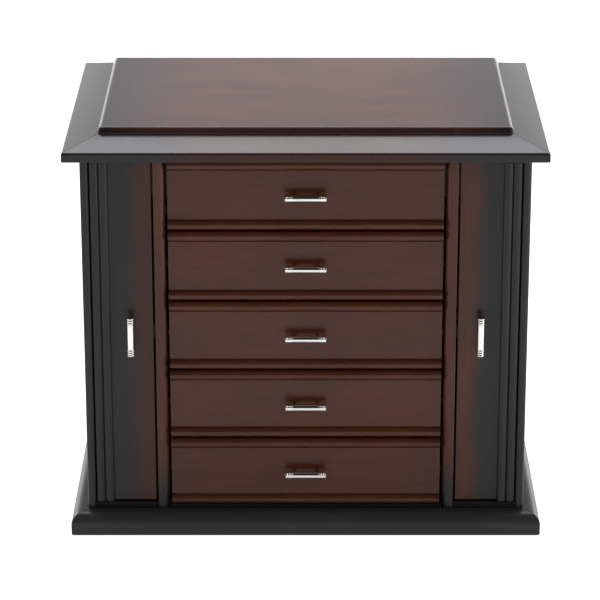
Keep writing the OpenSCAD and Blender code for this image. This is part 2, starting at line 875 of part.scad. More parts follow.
drawer_front(3);  // drawer_3_front
drawer_box(3);  // drawer_3_box
drawer_pad(3);  // drawer_3_pad
drawer_pull(3);  // drawer_3_pull
drawer_front(4);  // drawer_4_front
drawer_box(4);  // drawer_4_box
drawer_pad(4);  // drawer_4_pad
drawer_pull(4);  // drawer_4_pull
drawer_front(5);  // drawer_5_front
drawer_box(5);  // drawer_5_box
drawer_pad(5);  // drawer_5_pad
drawer_pull(5);  // drawer_5_pull
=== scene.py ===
"""Dresser-top jewelry chest: its finishes, upholstery, hardware and studio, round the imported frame."""

import logging
import math
from collections.abc import Callable, Iterable, Sequence
from dataclasses import dataclass
from enum import Enum

import bmesh
import bpy
from mathutils import Matrix, Vector


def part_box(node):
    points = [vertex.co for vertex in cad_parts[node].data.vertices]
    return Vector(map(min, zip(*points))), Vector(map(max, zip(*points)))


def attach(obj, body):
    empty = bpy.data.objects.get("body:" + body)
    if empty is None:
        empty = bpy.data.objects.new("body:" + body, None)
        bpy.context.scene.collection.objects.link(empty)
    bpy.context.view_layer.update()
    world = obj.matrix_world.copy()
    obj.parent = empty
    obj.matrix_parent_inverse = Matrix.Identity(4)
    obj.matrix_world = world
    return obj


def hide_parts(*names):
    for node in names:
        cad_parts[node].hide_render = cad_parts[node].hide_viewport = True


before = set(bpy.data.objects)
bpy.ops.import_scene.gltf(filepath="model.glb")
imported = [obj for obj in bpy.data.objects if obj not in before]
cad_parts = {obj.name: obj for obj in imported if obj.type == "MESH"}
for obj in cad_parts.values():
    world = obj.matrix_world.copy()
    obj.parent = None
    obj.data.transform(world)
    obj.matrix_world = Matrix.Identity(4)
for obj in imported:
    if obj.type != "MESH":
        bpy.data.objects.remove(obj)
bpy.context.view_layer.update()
MM = 0.001
HAIR = 0.01 * MM  # two heights closer than this are the same

Triple = tuple[float, float, float]
Colour = Triple
Finish = bpy.types.Material
Mesh = bpy.types.Mesh
Socket = bpy.types.NodeSocket
Sockets = dict[str, Socket]
Value = float | int | bool | tuple | str | Socket | bpy.types.ID
log = logging.getLogger("chest")


class Axis(Enum):
    """The direction that a board's grain runs in, with the turn that lays it along X."""

    X = (0.0, 0.0, 0.0)
    Y = (0.0, 0.0, -math.pi / 2)
    Z = (0.0, math.pi / 2, 0.0)


class Side(Enum):
    """A door's side of the chest, as the sign of its X."""

    LEFT = -1
    RIGHT = 1


# ---- node trees ----------------------------------------------------------------------------


class Graph:
    """A node tree with short calls that add nodes and join their sockets."""

    def __init__(self, tree: bpy.types.NodeTree) -> None:
        """Holds the tree that the calls add to."""
        self.tree = tree

    def node(self, kind: str, values: dict[str | int, Value] | None = None,
             **settings: object) -> bpy.types.Node:
        """Adds a node.

        Args:
            kind: Blender's name for the node's type.
            values: what each input takes, by name or index: a constant, or a socket to join.
            settings: the node's own properties.

        Returns:
            The new node.
        """
        made = self.tree.nodes.new(kind)
        for name, setting in settings.items():
            setattr(made, name, setting)
        for socket, value in (values or {}).items():
            self.feed(made.inputs[socket], value)
        return made

    def feed(self, socket: Socket, value: Value) -> None:
        """Joins a socket to an input, or sets the input's constant.

        Args:
            socket: the input.
            value: the socket to join, or the constant.
        """
        if isinstance(value, Socket):
            self.tree.links.new(value, socket)
        else:
            socket.default_value = value

    def math(self, operation: str, *terms: Value) -> Socket:
        """Returns the result of a Math node on one, two or three terms."""
        return self.node("ShaderNodeMath", dict(enumerate(terms)), operation=operation).outputs[0]

    def vector(self, operation: str, a: Value, b: Value) -> Socket:
        """Returns the result of a Vector Math node on two vectors."""
        return self.node("ShaderNodeVectorMath", {0: a, 1: b}, operation=operation).outputs[0]

    def weigh(self, a: Value, share: float, b: Value) -> Socket:
        """Returns a by its share and b by the rest, added."""
        return self.math("MULTIPLY_ADD", a, share, self.math("MULTIPLY", b, 1.0 - share))

    def noise(self, vector: Value, scale: float, detail: float, roughness: float = 0.5,
              distortion: float = 0.0) -> Socket:
        """Returns the factor of a Noise Texture."""
        values = {"Vector": vector, "Scale": scale, "Detail": detail, "Roughness": roughness,
                  "Distortion": distortion}
        return self.node("ShaderNodeTexNoise", values).outputs[0]

    def between(self, value: Value, low: Value, high: Value, start: Value = 0.0,
                end: Value = 1.0) -> Socket:
        """Returns start below low, end above high, and a smooth turn from one to the other between them."""
        values = {0: value, 1: low, 2: high, 3: start, 4: end}
        return self.node("ShaderNodeMapRange", values, interpolation_type="SMOOTHSTEP").outputs[0]

    def joined(self, x: Value = 0.0, y: Value = 0.0, z: Value = 0.0) -> Socket:
        """Returns a vector made of three values."""
        return self.node("ShaderNodeCombineXYZ", {0: x, 1: y, 2: z}).outputs[0]

    def parted(self, vector: Value) -> Sequence[Socket]:
        """Returns a vector's three values, by index or by name."""
        return self.node("ShaderNodeSeparateXYZ", {0: vector}).outputs

    def mix(self, share: Value, a: Value, b: Value) -> Socket:
        """Mixes two colours.

        Args:
            share: the second colour's share.
            a: the first colour.
            b: the second colour.

        Returns:
            The mixed colour.
        """
        made = self.node("ShaderNodeMix", data_type="RGBA")
        for socket, value in ((made.inputs[0], share), (made.inputs[6], a), (made.inputs[7], b)):
            self.feed(socket, value if not isinstance(value, tuple) else (*value, 1.0))
        return made.outputs[2]


@dataclass(frozen=True)
class NodeTree:
    """A node tree with named inputs and outputs, which is made once and then found again.

    Its inputs are named with each one's kind of socket and default value, and its outputs with each one's
    kind. The build function adds the nodes and returns what feeds each output.
    """

    name: str
    inputs: dict[str, tuple[str, Value]]
    outputs: dict[str, str]
    build: Callable[[Graph, Sockets], dict[str, Value]]
    kind: str = "ShaderNodeTree"

    def tree(self) -> bpy.types.NodeTree:
        """Finds or makes the tree.

        Returns:
            The tree.
        """
        if self.name in bpy.data.node_groups:
            return bpy.data.node_groups[self.name]
        made = bpy.data.node_groups.new(self.name, self.kind)
        for label, (kind, default) in self.inputs.items():
            socket = made.interface.new_socket(label, in_out="INPUT", socket_type=f"NodeSocket{kind}")
            if default is not None:
                socket.default_value = default
        for label, kind in self.outputs.items():
            made.interface.new_socket(label, in_out="OUTPUT", socket_type=f"NodeSocket{kind}")
        graph = Graph(made)
        entry = graph.node("NodeGroupInput")
        ends = self.build(graph, {label: entry.outputs[label] for label in self.inputs})
        graph.node("NodeGroupOutput", ends)
        return made


def wood_figure(graph: Graph, given: Sockets) -> dict[str, Value]:
    """Draws a board whose grain runs along X.

    Args:
        graph: the group's tree.
        given: the group's inputs.

    Returns:
        Fine streaks, broad clouds and open pores.
    """
    drawn = graph.vector("MULTIPLY", given["Vector"], (3.0, 40.0, 40.0))
    warp = graph.noise(graph.vector("MULTIPLY", given["Vector"], (4.0, 9.0, 9.0)), 3.0, 2.0)
    streak = graph.noise(graph.vector("ADD", drawn, warp), 9.0, 5.0, 0.62, 0.2)
    cloud = graph.noise(graph.vector("MULTIPLY", given["Vector"], (7.0, 16.0, 16.0)), 1.6, 3.0, 0.55)
    pores = graph.noise(graph.vector("MULTIPLY", given["Vector"], (9.0, 120.0, 120.0)), 14.0, 2.0)
    return {"Streak": graph.between(streak, 0.32, 0.68), "Cloud": graph.between(cloud, 0.3, 0.72),
            "Pores": graph.between(pores, 0.55, 0.75)}


def shaded_edge(graph: Graph, given: Sockets) -> dict[str, Value]:
    """Draws how far the sprayed black shading has closed in.

    Args:
        graph: the group's tree.
        given: the group's inputs, with the distances at which the shading starts and is full.

    Returns:
        The shading, from 0 to 1.
    """
    parts = graph.parted(given["Vector"])
    wander = graph.math("MULTIPLY_ADD", graph.noise(given["Vector"], 22.0, 2.0), 2 * WANDER, -WANDER)
    masks = []
    for axis, label in enumerate(("Across", "Along")):
        reach = graph.math("ADD", graph.math("ABSOLUTE", parts[axis]), wander)
        masks.append(graph.between(reach, given[f"{label} Start"], given[f"{label} Full"]))
    return {"Shade": graph.math("MAXIMUM", *masks)}


def cloth_pile(graph: Graph, given: Sockets) -> dict[str, Value]:
    """Draws a short pile.

    Args:
        graph: the group's tree.
        given: the group's inputs.

    Returns:
        Brushed patches, and the height of the tufts.
    """
    tufts = graph.noise(given["Vector"], given["Fineness"], 3.0, 0.7)
    stroked = graph.vector("MULTIPLY", given["Vector"], (1.0, 0.45, 1.0))
    brushed = graph.noise(stroked, 46.0, 3.0, 0.6, 0.8)
    return {"Brushed": graph.between(brushed, 0.34, 0.66), "Tufts": tufts}


def handled_metal(graph: Graph, given: Sockets) -> dict[str, Value]:
    """Draws the wear of polished or plated metal.

    Args:
        graph: the group's tree.
        given: the group's inputs.

    Returns:
        Hairline scratches and soft smudges.
    """
    drawn = graph.vector("MULTIPLY", given["Vector"], (0.15, 1.0, 1.0))
    hairs = graph.noise(drawn, given["Fineness"], 2.0)
    smudge = graph.noise(given["Vector"], 140.0, 2.0)
    return {"Hairs": hairs, "Smudge": graph.between(smudge, 0.4, 0.7)}


WANDER = 6.0 * MM  # how far the shading's edge wanders either way
PLACE_IN = {"Vector": ("Vector", None)}
WOOD_FIGURE = NodeTree("wood figure", PLACE_IN, {"Streak": "Float", "Cloud": "Float", "Pores": "Float"},
                       wood_figure)
SHADED_EDGE = NodeTree("shaded edge", PLACE_IN | {
    "Across Start": ("Float", 1.0), "Across Full": ("Float", 2.0),
    "Along Start": ("Float", 1.0), "Along Full": ("Float", 2.0)}, {"Shade": "Float"}, shaded_edge)
CLOTH_PILE = NodeTree("cloth pile", PLACE_IN | {"Fineness": ("Float", 1800.0)},
                      {"Brushed": "Float", "Tufts": "Float"}, cloth_pile)
HANDLED_METAL = NodeTree("handled metal", PLACE_IN | {"Fineness": ("Float", 3000.0)},
                         {"Hairs": "Float", "Smudge": "Float"}, handled_metal)


# ---- finishes ------------------------------------------------------------------------------


def emptied(owner: Finish | bpy.types.World) -> Graph:
    """Empties the nodes of a material or a world.

    Args:
        owner: the material or the world.

    Returns:
        Its node tree, to build in.
    """
    owner.use_nodes = True
    owner.node_tree.nodes.clear()
    return Graph(owner.node_tree)


class Material:
    """A new material with its output, its Principled BSDF and Object coordinates."""

    def __init__(self, name: str, **constants: Value) -> None:
        """Makes the material.

        Args:
            name: its name.
            constants: what the Principled BSDF's own sockets are set to, with _ for a space.
        """
        self.made = bpy.data.materials.new(name)
        self.graph = emptied(self.made)
        self.shader = self.graph.node("ShaderNodeBsdfPrincipled")
        for socket, value in constants.items():
            self.shader.inputs[socket.replace("_", " ")].default_value = value
        self.graph.node("ShaderNodeOutputMaterial", {"Surface": self.shader.outputs[0]})
        self.place = self.graph.node("ShaderNodeTexCoord").outputs["Object"]

    def mapped(self, centre: Triple = (0.0, 0.0, 0.0), turn: Triple = (0.0, 0.0, 0.0)) -> Socket:
        """Returns Object coordinates measured from a centre and then turned."""
        measured = self.graph.vector("SUBTRACT", self.place, centre)
        return self.graph.node("ShaderNodeMapping", {"Vector": measured, "Rotation": turn}).outputs[0]

    def group(self, pattern: NodeTree, **values: Value) -> Sequence[Socket]:
        """Returns the outputs of a group node with its inputs fed, with _ for a space in their names."""
        fed = {label.replace("_", " "): value for label, value in values.items()}
        return self.graph.node("ShaderNodeGroup", fed, node_tree=pattern.tree()).outputs

    def paint(self, colour: Value, roughness: Value) -> None:
        """Feeds the shader's colour and its roughness."""
        self.graph.feed(self.shader.inputs["Base Color"], colour)
        self.graph.feed(self.shader.inputs["Roughness"], roughness)

    def bump(self, height: Value, depth: float) -> None:
        """Feeds the shader's normal from a height that is worth a depth in metres."""
        made = self.graph.node("ShaderNodeBump", {"Height": height, "Distance": depth})
        self.graph.feed(self.shader.inputs["Normal"], made.outputs[0])


MAHOGANY = (0.091, 0.028, 0.0130)
DEEP_MAHOGANY = (0.061, 0.0175, 0.0078)
NOWHERE = (1.0, 2.0)  # metres out, which is past every edge of the chest


@dataclass(frozen=True)
class Lacquer:
    """Stained wood under sprayed gloss lacquer.

    Black shading starts and is full at two distances from a centre, across the piece and along it. The
    streaks and the pores are shares: of the tone, where the clouds have the rest, and of their own colour.
    """

    name: str
    grain: Axis = Axis.X
    light: Colour = MAHOGANY
    deep: Colour = DEEP_MAHOGANY
    black: Colour = (0.0175, 0.0165, 0.0160)
    centre: Triple = (0.0, 0.0, 0.0)
    across: tuple[float, float] = NOWHERE
    along: tuple[float, float] = NOWHERE
    upright: bool = False
    gloss: float = 0.22
    index: float = 1.335
    streaks: float = 0.45
    pores: float = 0.35
    pore_depth: float = 0.004 * MM

    def material(self) -> Finish:
        """Makes the finish.

        Returns:
            The material.
        """
        made = Material(self.name, IOR=self.index)
        graph = made.graph
        figure = made.group(WOOD_FIGURE, Vector=made.mapped(turn=self.grain.value))
        stance = (-math.pi / 2, 0.0, 0.0) if self.upright else (0.0, 0.0, 0.0)
        shade = made.group(SHADED_EDGE, Vector=made.mapped(self.centre, stance),
                           Across_Start=self.across[0], Across_Full=self.across[1],
                           Along_Start=self.along[0], Along_Full=self.along[1])
        tone = graph.weigh(figure["Streak"], self.streaks, figure["Cloud"])
        wood = graph.mix(tone, self.deep, self.light)
        pored = graph.mix(graph.math("MULTIPLY", figure["Pores"], self.pores), wood, self.deep)
        made.paint(graph.mix(shade["Shade"], pored, self.black),
                   graph.math("MULTIPLY_ADD", figure["Cloud"], 0.03, self.gloss))
        made.bump(figure["Pores"], -self.pore_depth)
        return made.made


@dataclass(frozen=True)
class Stain:
    """Plain wood, stained and rubbed with a satin oil, with its streaks and pores as in the lacquer."""

    name: str
    grain: Axis = Axis.X
    light: Colour = (0.105, 0.046, 0.029)
    deep: Colour = (0.046, 0.018, 0.011)
    shine: float = 0.5
    pore: Colour = (0.018, 0.007, 0.005)
    streaks: float = 0.7
    pores: float = 0.6
    pore_depth: float = 0.03 * MM
    roughness: float = 0.42

    def material(self) -> Finish:
        """Makes the finish.

        Returns:
            The material.
        """
        made = Material(self.name, IOR=1.45, Specular_IOR_Level=self.shine)
        graph = made.graph
        figure = made.group(WOOD_FIGURE, Vector=made.mapped(turn=self.grain.value))
        tone = graph.weigh(figure["Streak"], self.streaks, figure["Cloud"])
        wood = graph.mix(tone, self.deep, self.light)
        made.paint(graph.mix(graph.math("MULTIPLY", figure["Pores"], self.pores), wood, self.pore),
                   graph.math("MULTIPLY_ADD", figure["Pores"], 0.2, self.roughness))
        made.bump(figure["Pores"], -self.pore_depth)
        return made.made


@dataclass(frozen=True)
class Cloth:
    """Velvet or felt."""

    name: str
    light: Colour
    deep: Colour
    fineness: float = 1800.0
    brushed: float = 0.6
    pile: float = 0.25 * MM

    def material(self) -> Finish:
        """Makes the finish.

        Returns:
            The material.
        """
        made = Material(self.name, Sheen_Weight=0.6, Sheen_Roughness=0.35, Sheen_Tint=(*self.light, 1.0),
                        Specular_IOR_Level=0.15)
        pile = made.group(CLOTH_PILE, Vector=made.place, Fineness=self.fineness)
        tone = made.graph.weigh(pile["Brushed"], self.brushed, pile["Tufts"])
        made.paint(made.graph.mix(tone, self.deep, self.light), 0.9)
        made.bump(pile["Tufts"], self.pile)
        return made.made


@dataclass(frozen=True)
class Metal:
    """Plated, polished or brushed metal."""

    name: str
    colour: Colour
    dull: Colour
    roughness: float = 0.12
    fineness: float = 3000.0
    scratch_depth: float = 0.002 * MM

    def material(self) -> Finish:
        """Makes the finish.

        Returns:
            The material.
        """
        made = Material(self.name, Metallic=1.0)
        graph = made.graph
        worn = made.group(HANDLED_METAL, Vector=made.place, Fineness=self.fineness)
        made.paint(graph.mix(graph.math("MULTIPLY", worn["Smudge"], 0.5), self.colour, self.dull),
                   graph.math("MULTIPLY_ADD", worn["Smudge"], 0.07, self.roughness))
        made.bump(worn["Hairs"], self.scratch_depth)
        return made.made


class Finishes:
    """Every finish on the chest, made once."""

    def __init__(self) -> None:
        """Makes the whole set."""
        ink, night = (0.0215, 0.0205, 0.0200), (0.0165, 0.0160, 0.0160)
        panel_low, panel_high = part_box("lid_panel")
        half = (panel_high - panel_low) / 2
        self.drawer_front = Lacquer("drawer front lacquer", across=(0.095, 0.16)).material()
        door = {"grain": Axis.Z, "across": (0.133, 0.153)}
        self.doors = {
            # The left door has the right door's lacquer painted darker: painted shade for the weaker light
            # on the chest's left side.
            Side.LEFT: Lacquer("left door lacquer", light=(0.064, 0.021, 0.0105),
                               deep=(0.042, 0.0135, 0.0070), **door).material(),
            Side.RIGHT: Lacquer("right door lacquer", **door).material()}
        # The stiles' lacquer turns to black over their lowest few centimetres, towards their feet at the
        # plinth.
        self.upright = Lacquer("upright lacquer", Axis.Z, centre=(0.0, 0.0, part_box("front_stiles")[1].z),
                               along=(0.255, 0.31), upright=True).material()
        self.black = Lacquer("black lacquer", light=ink, deep=night).material()
        self.black_depth = Lacquer("black lacquer, front to back", Axis.Y, ink, night).material()
        # The plinth's black lacquer is painted a lighter, greenish grey with less gloss, standing in for
        # the light and reflection on its top: painted light.
        self.plinth = Lacquer("plinth lacquer", light=(0.038, 0.042, 0.0395), deep=(0.032, 0.035, 0.033),
                              index=1.24).material()
        # The rails under the doors and drawers and the heads over the doors are painted near-black with
        # little gloss: painted shadow where only shade shows between the parts.
        self.shadow = Stain("matt black", Axis.X, (0.0125, 0.0110, 0.0105), (0.0105, 0.0095, 0.0092),
                            shine=0.12).material()
        self.fascia = Lacquer("fascia lacquer", Axis.X, (0.054, 0.0180, 0.0105), (0.037, 0.0130, 0.0080),
                              (0.0215, 0.0205, 0.0205), across=(0.085, 0.135)).material()
        self.lid_panel = Lacquer("lid panel lacquer", light=(0.112, 0.039, 0.0275),
                                 deep=(0.058, 0.0210, 0.0158), centre=tuple(panel_low + half),
                                 across=(half.x - 0.085, half.x + 0.012),
                                 along=(half.y - 0.02, half.y + 0.02)).material()
        self.inside = Stain("inside stain").material()
        self.inside_depth = Stain("inside stain, front to back", Axis.Y).material()
        self.hardboard = Stain("hardboard", Axis.X, (0.16, 0.085, 0.045), (0.09, 0.05, 0.028)).material()
        self.velvet = Cloth("velvet", (0.42, 0.35, 0.27), (0.27, 0.22, 0.165)).material()
        self.felt = Cloth("felt", (0.035, 0.045, 0.040), (0.016, 0.022, 0.019), 2600.0).material()
        self.nickel = Metal("polished nickel", (0.80, 0.78, 0.74), (0.70, 0.68, 0.64), 0.10).material()
        self.brass = Metal("polished brass", (0.78, 0.58, 0.27), (0.62, 0.44, 0.20), 0.16).material()
        self.steel = Metal("zinc plated steel", (0.60, 0.60, 0.60), (0.48, 0.48, 0.50), 0.26).material()
        self.blued = Metal("blued steel", (0.050, 0.050, 0.056), (0.032, 0.032, 0.036), 0.3).material()
        self.magnet = Stain("magnet housing", Axis.Z, (0.022, 0.020, 0.019),
                            (0.016, 0.015, 0.015)).material()
        self.mirror = Metal("silvered glass", (0.88, 0.90, 0.90), (0.86, 0.88, 0.88), 0.0).material()


# ---- Geometry Nodes --------------------------------------------------------------------------


def finished(graph: Graph, given: Sockets, geometry: Value) -> dict[str, Value]:
    """Ends a Geometry Nodes tree with Realize Instances and Set Material.

    Args:
        graph: the tree.
        given: the tree's inputs.
        geometry: what the tree has made.

    Returns:
        What feeds the tree's output.
    """
    real = graph.node("GeometryNodeRealizeInstances", {0: geometry}).outputs[0]
    made = graph.node("GeometryNodeSetMaterial", {"Geometry": real, "Material": given["Material"]})
    return {"Geometry": made.outputs[0]}


def set_input(modifier: bpy.types.Modifier, name: str, value: Value) -> None:
    """Sets a Geometry Nodes modifier's input by its identifier.

    Args:
        modifier: the modifier.
        name: the input's name, by which the identifier is found in the tree's interface.
        value: what the input is set to.
    """
    for item in modifier.node_group.interface.items_tree:
        if item.item_type == "SOCKET" and item.in_out == "INPUT" and item.name == name:
            modifier[item.identifier] = value


def plain_mesh(made: bpy.types.Object, name: str) -> Mesh:
    """Turns what an object's modifiers make of it into a mesh of its own, and removes the object.

    Args:
        made: the object.
        name: the mesh's name.

    Returns:
        The mesh.
    """
    depsgraph = bpy.context.evaluated_depsgraph_get()
    mesh = bpy.data.meshes.new_from_object(made.evaluated_get(depsgraph), depsgraph=depsgraph)
    mesh.name = name
    bpy.data.objects.remove(made)
    return mesh


def grown(name: str, pattern: NodeTree, material: Finish, **values: Value) -> Mesh:
    """Makes a plain mesh with a Geometry Nodes tree.

    Args:
        name: the mesh's name.
        pattern: the tree.
        material: what its Set Material node sets.
        values: its other inputs, with _ for a space.

    Returns:
        The mesh.
    """
    seed = placed(bpy.data.meshes.new(name), name)
    modifier = seed.modifiers.new(name, "NODES")
    modifier.node_group = pattern.tree()
    for label, value in {"Material": material, **values}.items():
        set_input(modifier, label.replace("_", " "), value)
    mesh = plain_mesh(seed, name)
    mesh.set_sharp_from_angle(angle=math.radians(40.0))
    return mesh


def placed(data: bpy.types.ID, name: str) -> bpy.types.Object:
    """Puts a mesh, a lamp or a camera in the scene.

    Args:
        data: the mesh, lamp or camera.
        name: the new object's name.

    Returns:
        The object, at the origin.
    """
    made = bpy.data.objects.new(name, data)
    bpy.context.scene.collection.objects.link(made)
    return made


def moved(mesh: Mesh, name: str, matrix: Matrix) -> bpy.types.Object:
    """Puts a moved copy of a mesh in the scene.

    Args:
        mesh: the mesh.
        name: the new object's name.
        matrix: where the copy's points go.

    Returns:
        The object, at the origin.
    """
    copied = mesh.copy()
    copied.transform(matrix)
    return placed(copied, name)


def lengthwise(start: Value, end: Value, count: int, graph: Graph) -> Socket:
    """Returns a straight curve of evenly spaced points."""
    line = graph.node("GeometryNodeCurvePrimitiveLine", {"Start": start, "End": end})
    return graph.node("GeometryNodeResampleCurve", {"Curve": line.outputs[0], "Count": count}).outputs[0]


def turned(curve: Socket, radius: Value, graph: Graph) -> Socket:
    """Turns a rod round a curve.

    Args:
        curve: the rod's axis.
        radius: the rod's radius at each of the curve's points.
        graph: the tree.

    Returns:
        The rod, smooth and closed at its ends.
    """
    circle = graph.node("GeometryNodeCurvePrimitiveCircle", {"Resolution": 32, "Radius": 1.0})
    skin = graph.node("GeometryNodeCurveToMesh", {"Curve": curve, "Profile Curve": circle.outputs[0],
                                                  "Scale": radius, "Fill Caps": True}).outputs[0]
    return graph.node("GeometryNodeSetShadeSmooth", {0: skin, 2: True}, domain="FACE").outputs[0]


def ringed_pull(graph: Graph, given: Sockets) -> dict[str, Value]:
    """Makes a bar pull along X: a bar with rings turned into each end, on two posts.

    Args:
        graph: the tree.
        given: the tree's inputs.

    Returns:
        What feeds the tree's output.
    """
    place = graph.parted(graph.node("GeometryNodeInputPosition").outputs[0])
    half = graph.math("DIVIDE", given["Length"], 2.0)
    out = graph.math("MULTIPLY", given["Reach"], -1.0)
    inward = graph.math("SUBTRACT", half, graph.math("ABSOLUTE", place[0]))
    along = graph.math("DIVIDE", inward, given["Ring Length"])
    wave = graph.math("ABSOLUTE", graph.math("SINE", graph.math("MULTIPLY", along, math.pi)))
    ringed = graph.math("MULTIPLY", wave, graph.math("LESS_THAN", along, given["Rings"]))
    swell = graph.math("SUBTRACT", given["Ring Radius"], given["Bar Radius"])
    radius = graph.math("MULTIPLY_ADD", swell, ringed, given["Bar Radius"])
    eased = graph.math("MULTIPLY", radius, graph.between(along, 0.0, EASING, END_SHARE, 1.0))
    axis = lengthwise(graph.joined(graph.math("MULTIPLY", half, -1.0), out), graph.joined(half, out),
                      BAR_POINTS, graph)
    bar = turned(axis, eased, graph)
    foot = lengthwise((0, 0, 0), graph.joined(0.0, out), POST_POINTS, graph)
    post = turned(foot, given["Post Radius"], graph)
    pair = graph.node("GeometryNodeMeshLine", {
        "Count": 2, "Start Location": graph.joined(graph.math("DIVIDE", given["Post Pitch"], -2.0)),
        "Offset": graph.joined(given["Post Pitch"])})
    posts = graph.node("GeometryNodeInstanceOnPoints", {"Points": pair.outputs[0], "Instance": post})
    both = graph.node("GeometryNodeJoinGeometry")
    for part in (bar, posts.outputs[0]):
        graph.tree.links.new(part, both.inputs[0])
    return finished(graph, given, both.outputs[0])


def straight_row(graph: Graph, given: Sockets) -> dict[str, Value]:
    """Sets copies of a piece in a straight row.

    Args:
        graph: the tree.
        given: the tree's inputs.

    Returns:
        What feeds the tree's output.
    """
    line = graph.node("GeometryNodeMeshLine", {"Count": given["Count"], "Start Location": given["Start"],
                                               "Offset": given["Step"]})
    piece = graph.node("GeometryNodeObjectInfo", {"Object": given["Piece"]}, transform_space="ORIGINAL")
    copies = graph.node("GeometryNodeInstanceOnPoints", {
        "Points": line.outputs[0], "Instance": piece.outputs["Geometry"]})
    return finished(graph, given, copies.outputs[0])


def smooth_by_angle(graph: Graph, given: Sockets) -> dict[str, Value]:
    """Smooths every edge that is flatter than an angle.

    Args:
        graph: the tree.
        given: the tree's inputs.

    Returns:
        What feeds the tree's output.
    """
    faces = graph.node("GeometryNodeSetShadeSmooth", {0: given["Geometry"], 2: True}, domain="FACE")
    turn = graph.node("GeometryNodeInputMeshEdgeAngle").outputs[0]
    sharp = graph.node("FunctionNodeCompare", {0: turn, 1: given["Angle"]}, operation="GREATER_THAN")
    values = {0: faces.outputs[0], 1: sharp.outputs[0], 2: False}
    edges = graph.node("GeometryNodeSetShadeSmooth", values, domain="EDGE")
    return {"Geometry": edges.outputs[0]}


BAR_POINTS = 221
POST_POINTS = 4
END_SHARE = 0.78  # of the bar's radius, at its ends
EASING = 0.3  # of a ring's length, in which the radius grows to its full size
PULL_SIZES = ("Length", "Bar Radius", "Ring Radius", "Ring Length", "Rings", "Post Pitch", "Post Radius",
              "Reach")
MATERIAL_IN = {"Material": ("Material", None)}
GEOMETRY_OUT = {"Geometry": "Geometry"}
RINGED_PULL = NodeTree("ringed pull", {name: ("Float", 1.0) for name in PULL_SIZES} | MATERIAL_IN,
                       GEOMETRY_OUT, ringed_pull, "GeometryNodeTree")
STRAIGHT_ROW = NodeTree("row", {
    "Piece": ("Object", None), "Count": ("Int", 2), "Start": ("Vector", None), "Step": ("Vector", None)
} | MATERIAL_IN, GEOMETRY_OUT, straight_row, "GeometryNodeTree")
SMOOTH_BY_ANGLE = NodeTree("smooth by angle", {"Geometry": ("Geometry", None), "Angle": ("Float", 0.6)},
                           GEOMETRY_OUT, smooth_by_angle, "GeometryNodeTree")


# ---- stuffed pieces --------------------------------------------------------------------------


@dataclass(frozen=True)
class Stuffing:
    """How hard a piece is stuffed: its pressure, and how far the cloth may swell in metres.

    The cloth is blown up at a larger scale, at which it is steady, over a few frames.
    """

    swell: float
    pressure: float = 4.0
    scale: float = 20.0
    frames: int = 20
    quality: int = 6

    def fill(self, piece: bpy.types.Object, held: Iterable[int]) -> None:
        """Blows a closed mesh up as cloth, and writes the result into the mesh.

        Args:
            piece: an object at the origin.
            held: the points that stay where they are.
        """
        scene = bpy.context.scene
        mesh = piece.data
        before = [vertex.co.copy() for vertex in mesh.vertices]
        mesh.transform(Matrix.Scale(self.scale, 4))
        pins = piece.vertex_groups.new(name="held")
        pins.add(list(held), 1.0, "REPLACE")
        cloth = piece.modifiers.new("stuffing", "CLOTH")
        cloth.settings.quality = self.quality
        cloth.settings.use_pressure = True
        cloth.settings.uniform_pressure_force = self.pressure
        cloth.settings.effector_weights.gravity = 0.0
        cloth.settings.vertex_group_mass = pins.name
        cloth.collision_settings.use_collision = False
        cloth.point_cache.frame_start = 1
        cloth.point_cache.frame_end = self.frames
        for frame_number in range(1, self.frames + 1):
            scene.frame_set(frame_number)
        blown = piece.evaluated_get(bpy.context.evaluated_depsgraph_get()).data
        after = [vertex.co / self.scale for vertex in blown.vertices]
        piece.modifiers.remove(cloth)
        piece.vertex_groups.remove(pins)
        scene.frame_set(1)
        for vertex, start, end in zip(mesh.vertices, before, after):
            way = end - start
            grown_by = self.swell * math.tanh(way.length / self.swell) if way.length else 0.0
            vertex.co = start + way.normalized() * grown_by
        log.info("stuffed %s: %d points", piece.name, len(before))


EDGE_SHARE = 0.35  # of a pad's height, at its edges
ROUNDING = 0.45  # of a roll's radius, at its ends
CAP_STEPS = 4  # in which a roll's end is rounded


def slab(low: Vector, high: Vector, step: float, shoulder: float) -> Mesh:
    """Makes a closed pad: a flat underside and a top that falls away towards its edges.

    Args:
        low: its lowest corner.
        high: its highest corner.
        step: the size of its faces.
        shoulder: how far in from an edge the top reaches its height.

    Returns:
        The pad.
    """
    count_x = max(4, round((high.x - low.x) / step))
    count_y = max(4, round((high.y - low.y) / step))
    made = bmesh.new()
    layers: list[list[list[bmesh.types.BMVert]]] = []
    for top in (False, True):
        layer = []
        for i in range(count_x + 1):
            x = low.x + (high.x - low.x) * i / count_x
            row = []
            for j in range(count_y + 1):
                y = low.y + (high.y - low.y) * j / count_y
                inset = min(x - low.x, high.x - x, y - low.y, high.y - y) / shoulder
                dome = math.sqrt(1.0 - (1.0 - min(1.0, inset)) ** 2)
                rise = EDGE_SHARE + (1.0 - EDGE_SHARE) * dome if top else 0.0
                row.append(made.verts.new((x, y, low.z + (high.z - low.z) * rise)))
            layer.append(row)
        layers.append(layer)
    under, over = layers
    for i in range(count_x):
        for j in range(count_y):
            made.faces.new((over[i][j], over[i + 1][j], over[i + 1][j + 1], over[i][j + 1]))
            made.faces.new((under[i][j], under[i][j + 1], under[i + 1][j + 1], under[i + 1][j]))
    rim = [(i, 0) for i in range(count_x)] + [(count_x, j) for j in range(count_y)]
    rim += [(i, count_y) for i in range(count_x, 0, -1)] + [(0, j) for j in range(count_y, 0, -1)]
    for (i, j), (k, m) in zip(rim, rim[1:] + rim[:1]):
        made.faces.new((under[i][j], under[k][m], over[k][m], over[i][j]))
    return closed(made, "pad")


